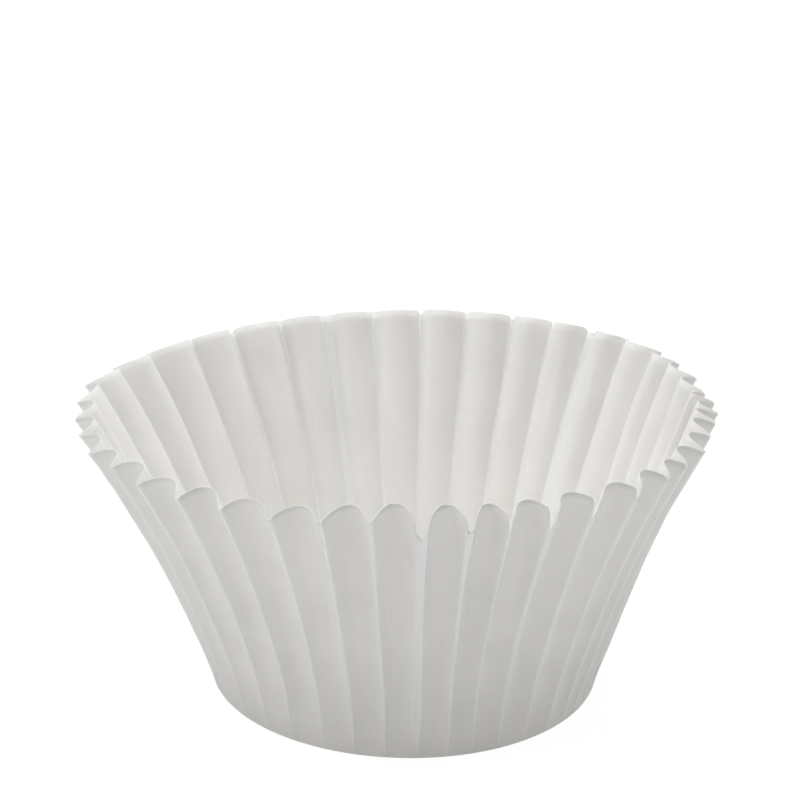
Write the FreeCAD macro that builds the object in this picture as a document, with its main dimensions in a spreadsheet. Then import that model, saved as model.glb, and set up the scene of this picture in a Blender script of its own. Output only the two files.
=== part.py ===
# Cupcake liner: one disc of baking paper, pressed into a flat base and a flared, pleated wall.
# Millimetres, +Z up, with the origin in the middle of the base, on the table.
import FreeCAD, Part
import math
import os

os.makedirs("parts", exist_ok=True)
doc = FreeCAD.newDocument("cupcake_liner")

# Driving dimensions
SIZES = [
    ("pleat_count", "42", "pleats round the wall"),
    ("base_diameter", "50", "flat base, out to its creased edge"),
    ("wall_length", "38", "paper from the base edge out to the rim"),
    ("middle_diameter", "62.6", "across the ridges half way along the wall"),
    ("rim_diameter", "80", "across the ridges at the rim"),
    ("middle_depth", "1.45", "ridge to valley half way along the wall"),
    ("rim_depth", "2.2", "ridge to valley at the rim"),
    ("paper_thickness", "0.1", "baking paper, measured level"),
]
# Shares of the wall length where a pleat's section is drawn, closer together where it changes faster
SECTIONS = (0.02, 0.053, 0.12, 0.21, 0.4, 0.66, 1)

sizes = doc.addObject("Spreadsheet::Sheet", "sizes")
for row, (name, value, note) in enumerate(SIZES, start=1):
    sizes.set(f"A{row}", name)
    sizes.set(f"B{row}", value)
    sizes.setAlias(f"B{row}", name)
    sizes.set(f"C{row}", note)
doc.recompute()

ORIGIN = FreeCAD.Vector(0, 0, 0)
UP = FreeCAD.Vector(0, 0, 1)
SEAM = 1e-4
base_radius = sizes.base_diameter / 2
pleat_angle = 360 / sizes.pleat_count
half_angle = math.radians(pleat_angle / 2)


def point_at(degrees, radius, height):
    """The point at an angle from the X axis, a radius and a height."""
    angle = math.radians(degrees)
    return FreeCAD.Vector(radius * math.cos(angle), radius * math.sin(angle), height)


def height_at(radius, share):
    """How high the paper is at a radius, at a share of the wall length from the base edge."""
    return math.sqrt((share * sizes.wall_length) ** 2 - (radius - base_radius) ** 2)


def ridge_radius(share):
    """How far out the ridges are: a parabola through the base edge, the middle and the rim."""
    middle = sizes.middle_diameter / 2 - base_radius
    rim = sizes.rim_diameter / 2 - base_radius
    return base_radius + (4 * middle - rim) * share + (2 * rim - 4 * middle) * share ** 2


def pleat_depth(share):
    """How far the valleys lie inside the ridges: nothing at the base edge, then ever deeper."""
    return sizes.rim_depth * share ** math.log2(sizes.rim_depth / sizes.middle_depth)


def arc_through(side_radius, side_height, middle_radius, middle_height):
    """An arc across one pleat, from ridge to ridge."""
    left, right = (point_at(side, side_radius, side_height) for side in (-pleat_angle / 2, pleat_angle / 2))
    return Part.Arc(left, point_at(0, middle_radius, middle_height), right).toShape()


def valley_arc(share, inset):
    """A pleat's round valley, all one length of wall from the base edge, or an inset inside it."""
    ridge = ridge_radius(share)
    valley = ridge - pleat_depth(share)
    chord = ridge * math.cos(half_angle)
    rise = chord - valley
    centre = valley + ((ridge * math.sin(half_angle)) ** 2 + rise ** 2) / (2 * rise)
    # Both faces share the arc's centre, so the inner ridge is where two neighbouring inner arcs meet
    reach = math.sqrt((centre - valley + inset) ** 2 - (centre * math.sin(half_angle)) ** 2)
    corner = centre * math.cos(half_angle) - reach
    height = height_at(ridge, share)
    slope = (height_at(valley, share) - height) / rise
    return arc_through(
        corner,
        height + (ridge - corner) * math.cos(half_angle) * slope,
        valley - inset,
        height + (rise + inset) * slope,
    )


def base_arc(inset):
    """One pleat's stretch of the base edge, under the paper or an inset above and inside it."""
    return arc_through(base_radius - inset, inset, base_radius - inset, inset)


def one_pleat():
    """The faces of one pleat: outside, inside, where it joins the base, and the cut edge at the rim."""
    outer, inner = (
        [base_arc(inset)] + [valley_arc(share, inset) for share in SECTIONS]
        for inset in (0, sizes.paper_thickness)
    )
    faces = [Part.makeRuledSurface(low, high) for side in (outer, inner) for low, high in zip(side, side[1:])]
    faces.append(Part.makeRuledSurface(outer[0], inner[0]))
    ends = [Part.makeLine(outer[-1].Vertexes[end].Point, inner[-1].Vertexes[end].Point) for end in (0, 1)]
    faces.append(Part.Face(Part.Wire([outer[-1], ends[1], inner[-1], ends[0]])))
    return faces


# The wall is the same pleat all the way round, sewn into one solid
pleat = one_pleat()
turns = [pleat_angle * turn for turn in range(int(sizes.pleat_count))]
shell = Part.makeShell([face.rotated(ORIGIN, UP, turn) for turn in turns for face in pleat])
shell.sewShape(SEAM)
wall = doc.addObject("Part::Feature", "pleated_wall")
wall.Shape = Part.makeSolid(shell)

# The base is flat, and its slanting edge lies against the foot of the wall
base = doc.addObject("Part::Cone", "base")
base.setExpression("Radius1", "sizes.base_diameter / 2")
base.setExpression("Radius2", "sizes.base_diameter / 2 - sizes.paper_thickness")
base.setExpression("Height", "sizes.paper_thickness")

liner = doc.addObject("Part::MultiFuse", "fused_paper")
liner.Label = "cupcake_liner"
liner.Shapes = [wall, base]
doc.recompute()

for part in doc.Objects:
    if "Invalid" in part.State or "Error" in part.State:
        raise RuntimeError(f"{part.Label} was not built: {part.State}")
for part in (wall, base, liner):
    if part.Shape.isNull() or not part.Shape.isValid() or len(part.Shape.Solids) != 1:
        raise RuntimeError(f"{part.Label} is not one valid solid")

liner.Shape.exportStep(f"parts/{liner.Label}.step")
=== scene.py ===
import math
import random

import bmesh
import bpy
from mathutils import Matrix, Vector, noise


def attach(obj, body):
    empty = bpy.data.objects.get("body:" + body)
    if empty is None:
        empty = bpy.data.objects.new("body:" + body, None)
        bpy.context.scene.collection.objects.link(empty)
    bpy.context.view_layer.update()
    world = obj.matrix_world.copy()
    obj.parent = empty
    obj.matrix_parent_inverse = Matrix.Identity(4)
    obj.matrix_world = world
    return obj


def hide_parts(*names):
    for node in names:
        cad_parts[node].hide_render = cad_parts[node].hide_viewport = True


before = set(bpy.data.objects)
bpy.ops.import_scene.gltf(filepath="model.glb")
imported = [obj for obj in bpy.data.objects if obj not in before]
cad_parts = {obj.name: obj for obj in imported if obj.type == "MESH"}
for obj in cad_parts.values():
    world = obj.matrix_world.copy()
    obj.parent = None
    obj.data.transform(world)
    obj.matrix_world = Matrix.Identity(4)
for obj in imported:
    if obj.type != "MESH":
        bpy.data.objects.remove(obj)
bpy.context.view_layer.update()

MM = 0.001

# The paper blank and the cup that it is pressed into
BASE_RADIUS = 25 * MM
WALL_LENGTH = 38 * MM
MIDDLE_RADIUS = 31.45 * MM
RIM_RADIUS = 40 * MM
RIM_DEPTH = 2.45 * MM
DEPTH_POWER = 0.8
PAPER = 0.09 * MM
PLEATS = 42

# How far the foot is out of round, which way round it lies, and how far up the wall it lasts
FOOT_OVAL = 1.0 * MM
OVAL_TURN = 12
OVAL_END = 0.25

# How finely the blank is divided
VALLEY_STEPS = 16
PLEAT_STEPS = VALLEY_STEPS + 2
BASE_RINGS = 9
WALL_RINGS = 46
RING_POWER = 1.35
HUB_RADIUS = 3 * MM
SHARP_ANGLE = 22

# Soft unevenness: how far a ridge wanders sideways and outwards, and two sizes of buckle in the paper
WANDER_TURN = 0.18
WANDER_OUT = 0.2 * MM
WANDER_WAVES = 3.0
BUCKLES = ((0.12 * MM, 110), (0.05 * MM, 400))

# Shares of the wall where a crest starts to open and where it starts to be crushed, and how fast
# it grows out of the base edge
OPENING_START = 0.72
CRUSH_START = 0.8
CREST_GROWTH = 6
TEAR_START = 0.85

# How far the ridges bunch up and open out, and over how many pleats
BUNCH_SLIDE = 1.5
BUNCH_LENGTH = 13.3
BUNCH_START = 1.2
BACK_UNEVEN = 0.6

# Where the photograph's camera stands, from the front of the cup, in degrees
VIEW_TURN = -2.24
FRONT_TURN = -139.19 + VIEW_TURN
PLEAT_TURN = 360 / PLEATS

# The soft cup leans a little to the left and back, so the right and front of its rim stand higher.
# Metres sideways per metre of height, as the camera sees them, to the right and to the back.
LEAN = Matrix.Rotation(math.radians(VIEW_TURN), 2) @ Vector((-0.0415, 0.0271))
RIM_HEIGHT = 34.9 * MM

chance = random.Random(5)


def polar(radius, degrees, height=0.0):
    """The point at a radius, an angle from the X axis and a height."""
    angle = math.radians(degrees)
    return Vector((radius * math.cos(angle), radius * math.sin(angle), height))


def ridge_radius(share):
    """How far out the ridges are, at a share of the wall's length from the base edge."""
    middle = MIDDLE_RADIUS - BASE_RADIUS
    rim = RIM_RADIUS - BASE_RADIUS
    return BASE_RADIUS + (4 * middle - rim) * share + (2 * rim - 4 * middle) * share ** 2


def wall_height(radius, share):
    """How high the paper is there, when it is that share of the wall's length from the base edge."""
    return math.sqrt(max((share * WALL_LENGTH) ** 2 - (radius - BASE_RADIUS) ** 2, 0))


def ease(value, start, end):
    """Nought before the start, one past the end, and smooth between."""
    part = min(max((value - start) / (end - start), 0), 1)
    return part * part * (3 - 2 * part)


# Each ridge has its own place, crest and wander. Ridge 0 is at the front left, and they count to
# the right. The ones in FRONT are placed one by one, and most of the others by chance.
FRONT = range(-7, 20)
ROUND = range(FRONT[0], FRONT[0] + PLEATS)
# Degrees that a ridge has slid sideways
SLID = {
    -7: -10.3, -6: -9.0, -5: -3.9, -4: -2.0, -3: -0.7, -2: 0.4, 0: 0.4, 1: 1.0, 2: 0.8, 3: 1.0,
    4: 0.8, 5: 0.6, 6: 0.9, 7: 1.0, 10: 0.6, 11: 1.2, 13: -2.5, 14: -4.7, 15: -6.8, 16: -9.4,
    17: -13.5, 18: -16.6, 19: -20.5,
}
# Half the width of a crest that is flattened or folded double, in millimetres
DOUBLED = {5: 0.15, 6: 0.45, 9: 0.25, 24: 0.6, 30: 0.4}
# Millimetres that a crest is pushed in at the rim
CRUSHED = {
    4: 0.1, 6: 0.3, 7: 0.3, 8: 0.2, 9: 0.3, 10: 0.2, 11: 0.3, 12: 0.2, 22: 0.3, 24: 0.3, 30: 0.3,
}
# Millimetres that the rim is pushed out, or in, at a ridge
REACH = {
    -7: 3.4, -6: 3.7, -5: 1.3, -4: 0.65, -3: 0.2, -2: 0.45, 4: -0.2, 5: -0.5, 6: -0.2,
    11: 0.3, 12: 0.3, 13: 0.1, 14: 0.0, 15: -0.6, 16: -0.7, 17: -0.7, 18: -0.9, 19: -1.6,
}
# How deep a crest has split at the rim, as a share of the wall, and how the split closes sideways
TORN = {
    1: 0.01, 2: 0.02, 3: 0.02, 4: 0.01, 5: 0.0, 6: 0.08, 7: 0.055, 8: 0.075, 9: 0.09, 10: 0.085,
    11: 0.06, 12: 0.02,
}
TEAR_EDGE = (1.0, 0.6, 0.2)
# How far the floor of the valley after a ridge bulges out again, and how deep that valley is
BULGED = {3: 0.35, 4: 0.45, 5: 0.6, 6: 0.2}
DEEP = {4: 1.15, 5: 1.3, 6: 1.25, 7: 1.15, 8: 1.05, 9: 0.95, 10: 0.85}


def behind(index, right, left):
    """A value between those of the outermost front ridges, for a ridge at the back of the cup."""
    return right + (left - right) * (index - FRONT[-1]) / (PLEATS - FRONT[-1] + FRONT[0])


def bunching(index):
    """Degrees by which a ridge has slid sideways: pleats bunch up and open out round the cup."""
    slow = BUNCH_SLIDE * math.sin(2 * math.pi * (index - BUNCH_START) / BUNCH_LENGTH)
    if index in FRONT:
        return slow + SLID.get(index, 0)
    back = behind(index, bunching(FRONT[-1]), bunching(FRONT[0]))
    return back + chance.uniform(-BACK_UNEVEN, BACK_UNEVEN)


def reach_out(index, uneven):
    """How many millimetres a ridge is pushed out of the round rim."""
    if index in FRONT:
        return REACH.get(index, uneven)
    return behind(index, REACH[FRONT[-1]], REACH[FRONT[0]]) + uneven


ridges = []
for index in ROUND:
    crush = CRUSHED.get(index, chance.choice((0.0, 0.05, 0.1, 0.2)))
    ridges.append({
        "turn": FRONT_TURN + index * PLEAT_TURN + bunching(index),
        "crest": DOUBLED.get(index, chance.choice((0.06, 0.08, 0.12, 0.16))) * MM,
        "opening": (0.08 + 0.6 * crush) * MM,
        "crush": crush * MM,
        "tear": TORN.get(index, chance.choice((0.0, 0.004, 0.008, 0.015))),
        "reach": reach_out(index, chance.uniform(-0.25, 0.25)) * MM,
        "seed": chance.uniform(0, 100),
    })
valleys = []
for index in ROUND:
    valleys.append({
        "depth": DEEP.get(index, chance.uniform(0.86, 1.12)),
        "skew": chance.uniform(-0.12, 0.12),
        "bulge": BULGED.get(index, chance.uniform(0.0, 0.25)),
        "square": chance.uniform(0.6, 1.4),
    })


def wander(seed, share, size):
    """A smooth random shift along a ridge, nothing at the base edge."""
    return size * noise.noise(Vector((seed, share * WANDER_WAVES, 0))) * min(share * 4, 1)


def out_of_round(degrees, share):
    """How far the foot of the soft cup is out of round: it is a little deeper than it is wide."""
    oval = 0.25 - 0.75 * math.cos(2 * math.radians(degrees + OVAL_TURN))
    return FOOT_OVAL * oval * (1 - ease(share, 0.0, OVAL_END))


def ridge_at(number, share):
    """A ridge's angle in degrees, radius, half its crest's width, and how far the crest is pushed in."""
    ridge = ridges[number % PLEATS]
    turns = 360 * (number // PLEATS)
    turn = ridge["turn"] + turns + wander(ridge["seed"], share, WANDER_TURN)
    reach = ridge["reach"] + wander(ridge["seed"] + 7, share, WANDER_OUT)
    radius = ridge_radius(share) + reach * share + out_of_round(turn, share)
    grown = min(share * CREST_GROWTH, 1)
    crest = ridge["crest"] * grown + ridge["opening"] * ease(share, OPENING_START, 1.0)
    crush = 0.1 * crest * grown + ridge["crush"] * ease(share, CRUSH_START, 1.0)
    return turn, radius, crest, crush


def pleat_point(number, step, share):
    """A level section: a crest on the ridge, then a valley that widens into a broad floor."""
    turn, radius, crest, crush = ridge_at(number, share)
    next_turn, next_radius, next_crest, _ = ridge_at(number + 1, share)
    if step == 0:
        return polar(radius - crush, turn)
    start = polar(radius, turn + math.degrees(crest / radius))
    end = polar(next_radius, next_turn - math.degrees(next_crest / next_radius))
    middle = (start + end) / 2
    across = (end - start) / 2
    half_width = across.length
    along = across.normalized()
    inward = Vector((-along.y, along.x, 0))
    valley = valleys[number % PLEATS]
    depth = RIM_DEPTH * valley["depth"] * share ** DEPTH_POWER
    depth -= (radius + next_radius) / 2 - middle.length
    even = 2 * (step - 1) / VALLEY_STEPS - 1
    side = 0.4 * even + 0.6 * math.sin(even * math.pi / 2)
    part = max(math.cos(side * math.pi / 2), 0)
    squareness = 1 + 0.3 * valley["square"] * ease(share, 0.3, 1.0)
    floor = 1 - (1 - part) ** squareness
    floor -= valley["bulge"] * part ** 3 * ease(share, 0.0, 0.3) * (1 - ease(share, 0.75, 1.0))
    side += valley["skew"] * part
    return middle + along * half_width * side + inward * depth * floor


def torn_away(number, step):
    """The share of the wall that has split off the rim there, most of it on the crests."""
    from_next = PLEAT_STEPS - step
    if step < len(TEAR_EDGE):
        return ridges[number % PLEATS]["tear"] * TEAR_EDGE[step]
    if from_next < len(TEAR_EDGE):
        return ridges[(number + 1) % PLEATS]["tear"] * TEAR_EDGE[from_next]
    return 0


def press(column, blank_radius):
    """Where a point of the flat blank goes when the cup is pressed."""
    number, step = divmod(column, PLEAT_STEPS)
    if blank_radius <= BASE_RADIUS:
        start = pleat_point(number, step, 0.0001)
        return Vector((start.x, start.y, 0)) * (blank_radius / BASE_RADIUS)
    share = (blank_radius - BASE_RADIUS) / WALL_LENGTH
    share -= torn_away(number, step) * ease(share, TEAR_START, 1.0)
    point = pleat_point(number, step, share)
    radius = math.hypot(point.x, point.y)
    turn = math.degrees(math.atan2(point.y, point.x))
    point.z = wall_height(radius - out_of_round(turn, share), share)
    # The paper is never quite smooth
    uneven = sum(size * noise.noise(point * scale) for size, scale in BUCKLES)
    uneven *= ease(share, 0.0, 0.15)
    point += Vector((point.x / radius, point.y / radius, 0)) * uneven
    sideways = LEAN.x * point.x + LEAN.y * point.y
    point.x += LEAN.x * point.z
    point.y += LEAN.y * point.z
    point.z -= sideways * point.z / RIM_HEIGHT
    return point


def paper_blank():
    """A flat disc, drawn ring by ring from a small hub outwards."""
    paper = bmesh.new()
    columns = PLEATS * PLEAT_STEPS
    bmesh.ops.create_circle(paper, cap_ends=True, cap_tris=True, segments=columns, radius=HUB_RADIUS)
    base = [(ring / BASE_RINGS) ** 0.5 for ring in range(1, BASE_RINGS + 1)]
    wall = [(ring / WALL_RINGS) ** RING_POWER for ring in range(1, WALL_RINGS + 1)]
    radii = [HUB_RADIUS + (BASE_RADIUS - HUB_RADIUS) * share for share in base]
    radii += [BASE_RADIUS + WALL_LENGTH * share for share in wall]
    for radius in radii:
        edge = [line for line in paper.edges if line.is_boundary]
        grown = bmesh.ops.extrude_edge_only(paper, edges=edge)
        for vert in grown["geom"]:
            if isinstance(vert, bmesh.types.BMVert):
                vert.co = vert.co.normalized() * radius
    return paper


def make_liner():
    """The blank pressed into shape, its crests left sharp, and given the paper's thickness."""
    paper = paper_blank()
    columns = PLEATS * PLEAT_STEPS
    step_angle = 2 * math.pi / columns
    # Marks the ridge crests up the wall, where a painted highlight goes
    painted_crest_highlight = paper.verts.layers.float.new("painted_crest_highlight")
    for vert in paper.verts:
        radius = math.hypot(vert.co.x, vert.co.y)
        if radius > HUB_RADIUS / 2:
            column = round(math.atan2(vert.co.y, vert.co.x) / step_angle) % columns
            vert.co = press(column, radius)
            on_ridge = column % PLEAT_STEPS in (0, 1, PLEAT_STEPS - 1)
            vert[painted_crest_highlight] = 1.0 if on_ridge and radius > BASE_RADIUS * 1.02 else 0.0
    bmesh.ops.translate(paper, verts=paper.verts, vec=(0, 0, PAPER / 2))
    bmesh.ops.recalc_face_normals(paper, faces=paper.faces)
    for face in paper.faces:
        face.smooth = True
    mesh = bpy.data.meshes.new("cupcake_liner_paper")
    paper.to_mesh(mesh)
    paper.free()
    mesh.set_sharp_from_angle(angle=math.radians(SHARP_ANGLE))
    liner = bpy.data.objects.new("cupcake_liner_paper", mesh)
    bpy.context.scene.collection.objects.link(liner)
    thickness = liner.modifiers.new("paper_thickness", "SOLIDIFY")
    thickness.thickness = PAPER
    thickness.offset = 0
    thickness.use_even_offset = False
    return liner


def principled(material):
    return material.node_tree.nodes["Principled BSDF"]


def baking_paper():
    """Matte white greaseproof paper, with faint clouds, fine fibres and a painted highlight on the ridge
    crests.
    """
    material = bpy.data.materials.new("baking_paper")
    material.use_nodes = True
    nodes, links = material.node_tree.nodes, material.node_tree.links
    shader = principled(material)
    shader.inputs["Roughness"].default_value = 0.62
    shader.inputs["Specular IOR Level"].default_value = 0.35
    # Thin enough for light to pass
    shader.inputs["Subsurface Weight"].default_value = 1.0
    shader.inputs["Subsurface Radius"].default_value = (1.0, 1.0, 1.0)
    shader.inputs["Subsurface Scale"].default_value = 0.00007
    place = nodes.new("ShaderNodeTexCoord")
    clouds = nodes.new("ShaderNodeTexNoise")
    clouds.inputs["Scale"].default_value = 180
    clouds.inputs["Detail"].default_value = 4
    links.new(place.outputs["Object"], clouds.inputs["Vector"])
    tone = nodes.new("ShaderNodeValToRGB")
    tone.color_ramp.elements[0].position = 0.3
    tone.color_ramp.elements[0].color = (0.87, 0.862, 0.842, 1)
    tone.color_ramp.elements[1].position = 0.7
    tone.color_ramp.elements[1].color = (0.91, 0.90, 0.882, 1)
    links.new(clouds.outputs["Fac"], tone.inputs["Fac"])
    # Painted highlight: the ridge crests get a lighter colour than the rest of the paper
    painted_crest_highlight = nodes.new("ShaderNodeAttribute")
    painted_crest_highlight.attribute_name = "painted_crest_highlight"
    highlighted_tone = nodes.new("ShaderNodeMix")
    highlighted_tone.data_type = "RGBA"
    highlighted_tone.inputs["B"].default_value = (0.96, 0.952, 0.935, 1)
    links.new(painted_crest_highlight.outputs["Fac"], highlighted_tone.inputs["Factor"])
    links.new(tone.outputs["Color"], highlighted_tone.inputs["A"])
    links.new(highlighted_tone.outputs["Result"], shader.inputs["Base Color"])
    fibres = nodes.new("ShaderNodeTexNoise")
    fibres.inputs["Scale"].default_value = 1400
    fibres.inputs["Detail"].default_value = 3
    links.new(place.outputs["Object"], fibres.inputs["Vector"])
    bump = nodes.new("ShaderNodeBump")
    bump.inputs["Strength"].default_value = 0.25
    bump.inputs["Distance"].default_value = 0.00005
    links.new(fibres.outputs["Fac"], bump.inputs["Height"])
    links.new(bump.outputs["Normal"], shader.inputs["Normal"])
    return material


# The liner
liner = make_liner()
liner.data.materials.append(baking_paper())
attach(liner, "root")
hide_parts("cupcake_liner")


# A pale floor that is white to the camera and keeps the cup's shadow
def white_floor():
    material = bpy.data.materials.new("white_floor")
    material.use_nodes = True
    nodes, links = material.node_tree.nodes, material.node_tree.links
    nodes.clear()
    output = nodes.new("ShaderNodeOutputMaterial")
    lit = nodes.new("ShaderNodeBsdfDiffuse")
    lit.inputs["Color"].default_value = (0.85, 0.85, 0.85, 1)
    faint = nodes.new("ShaderNodeBsdfDiffuse")
    faint.inputs["Color"].default_value = (0.14, 0.14, 0.14, 1)
    glow = nodes.new("ShaderNodeEmission")
    glow.inputs["Strength"].default_value = 0.93
    white = nodes.new("ShaderNodeAddShader")
    links.new(faint.outputs["BSDF"], white.inputs[0])
    links.new(glow.outputs["Emission"], white.inputs[1])
    rays = nodes.new("ShaderNodeLightPath")
    mirror = nodes.new("ShaderNodeMath")
    mirror.operation = "MAXIMUM"
    links.new(rays.outputs["Is Camera Ray"], mirror.inputs[0])
    links.new(rays.outputs["Is Glossy Ray"], mirror.inputs[1])
    through = nodes.new("ShaderNodeMath")
    through.operation = "MAXIMUM"
    links.new(mirror.outputs["Value"], through.inputs[0])
    links.new(rays.outputs["Is Transmission Ray"], through.inputs[1])
    seen = nodes.new("ShaderNodeMixShader")
    links.new(through.outputs["Value"], seen.inputs["Fac"])
    links.new(lit.outputs["BSDF"], seen.inputs[1])
    links.new(white.outputs["Shader"], seen.inputs[2])
    links.new(seen.outputs["Shader"], output.inputs["Surface"])
    return material


floor_shape = bmesh.new()
bmesh.ops.create_circle(floor_shape, cap_ends=True, segments=96, radius=2.0)
floor_mesh = bpy.data.meshes.new("floor")
floor_shape.to_mesh(floor_mesh)
floor_shape.free()
floor = bpy.data.objects.new("floor", floor_mesh)
bpy.context.scene.collection.objects.link(floor)
floor.data.materials.append(white_floor())


# Soft studio light
def studio_world():
    world = bpy.data.worlds.new("studio")
    bpy.context.scene.world = world
    world.use_nodes = True
    nodes, links = world.node_tree.nodes, world.node_tree.links
    nodes.clear()
    output = nodes.new("ShaderNodeOutputWorld")
    soft = nodes.new("ShaderNodeBackground")
    soft.inputs["Color"].default_value = (1, 1, 1, 1)
    soft.inputs["Strength"].default_value = 0.36
    white = nodes.new("ShaderNodeBackground")
    white.inputs["Color"].default_value = (1, 1, 1, 1)
    white.inputs["Strength"].default_value = 1.0
    rays = nodes.new("ShaderNodeLightPath")
    seen = nodes.new("ShaderNodeMixShader")
    links.new(rays.outputs["Is Camera Ray"], seen.inputs["Fac"])
    links.new(soft.outputs["Background"], seen.inputs[1])
    links.new(white.outputs["Background"], seen.inputs[2])
    links.new(seen.outputs["Shader"], output.inputs["Surface"])


def soft_box(name, place, size, power):
    """A square lamp that faces the middle of the cup."""
    lamp = bpy.data.lights.new(name, "AREA")
    lamp.shape = "SQUARE"
    lamp.size = size
    lamp.energy = power
    stand = bpy.data.objects.new(name, lamp)
    stand.location = place
    stand.rotation_euler = (Vector((0, 0, 0.02)) - Vector(place)).to_track_quat("-Z", "Y").to_euler()
    bpy.context.scene.collection.objects.link(stand)


studio_world()
soft_box("left", (-0.85, -0.25, 0.6), 0.7, 1.7)
soft_box("overhead", (-0.1, 0.35, 1.0), 0.8, 7.5)
soft_box("right", (0.9, 0.3, 0.45), 0.5, 1.3)

# The camera of the photograph
CAMERA_DISTANCE = 15.5 * BASE_RADIUS
CAMERA_ELEVATION = 25.93
CAMERA_PITCH = 20.91
CAMERA_PAN = 0.26
CAMERA_ROLL = 1.72
CAMERA_LENS = 134.9
camera_data = bpy.data.cameras.new("camera")
camera_data.sensor_width = 36
camera_data.lens = CAMERA_LENS
camera_data.clip_start = 0.01
camera = bpy.data.objects.new("camera", camera_data)
bpy.context.scene.collection.objects.link(camera)
camera.location = polar(
    CAMERA_DISTANCE * math.cos(math.radians(CAMERA_ELEVATION)),
    VIEW_TURN - 90,
    CAMERA_DISTANCE * math.sin(math.radians(CAMERA_ELEVATION)),
)
look = Matrix.Rotation(math.radians(VIEW_TURN + CAMERA_PAN), 4, "Z")
look @= Matrix.Rotation(math.radians(90 - CAMERA_PITCH), 4, "X")
look @= Matrix.Rotation(math.radians(CAMERA_ROLL), 4, "Z")
camera.rotation_euler = look.to_euler()
bpy.context.scene.camera = camera

bpy.context.scene.view_settings.view_transform = "Standard"
